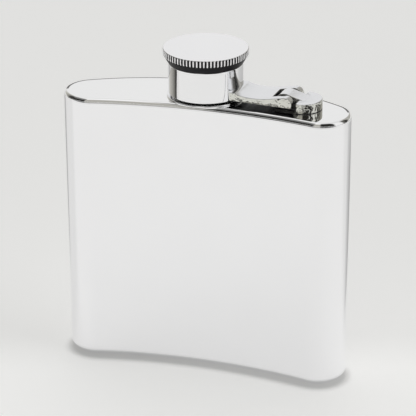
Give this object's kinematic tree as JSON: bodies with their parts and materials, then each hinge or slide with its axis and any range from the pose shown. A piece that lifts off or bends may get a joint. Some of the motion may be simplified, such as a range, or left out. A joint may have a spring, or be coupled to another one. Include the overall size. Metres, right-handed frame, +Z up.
{
  "type": "hip flask",
  "caption": "Curved steel hip flask with a kidney-shaped body and a captive screw cap that climbs in its collar and swings aside on a hinged arm.",
  "frame": {"origin": "centre of the flask's box in plan, at the flat bottom it stands on", "axes": "+Z up along the height, +X along the width towards the hinge side, +Y towards the bulging back face"},
  "size_m": [0.095, 0.0288, 0.1092],
  "materials": {
    "polished_shell": "mirror polished stainless steel",
    "turned_steel": "polished turned stainless steel with faint lathe lines",
    "cast_steel": "polished steel hinge parts with softened edges",
    "plain_steel": "satin steel, not polished",
    "seal": "matte food-grade silicone"
  },
  "bodies": {
    "flask": {"body_shell": "polished_shell", "top_plate": "polished_shell", "neck": "turned_steel", "hinge_bracket": "cast_steel", "hinge_pin": "plain_steel"},
    "arm": {"hinge_arm": "cast_steel", "captive_collar": "turned_steel"},
    "snap_ring": {"retaining_ring": "plain_steel"},
    "cap": {"cap_cup": "plain_steel", "cap_seal": "seal", "cap_head": "turned_steel"}
  },
  "joints": [
    {"name": "arm_swing", "type": "hinge", "parent": "flask", "child": "arm", "pos_m": [0.02721, -0.00182, 0.0954], "axis": [0.0785, 0.9969, 0], "range_deg": [0, 135]},
    {"name": "cap_climb", "type": "slide", "parent": "arm", "child": "snap_ring", "axis": [0, 0, 1], "range_m": [0, 0.005]},
    {"name": "cap_turn", "type": "hinge", "parent": "snap_ring", "child": "cap", "pos_m": [-0.0016, 0.00045, 0.1], "axis": [0, 0, 1], "range_deg": [0, 720]}
  ],
  "couplings": [
    {"joint": "cap_climb", "follows": "cap_turn", "m_per_rad": 0.00039789}
  ]
}
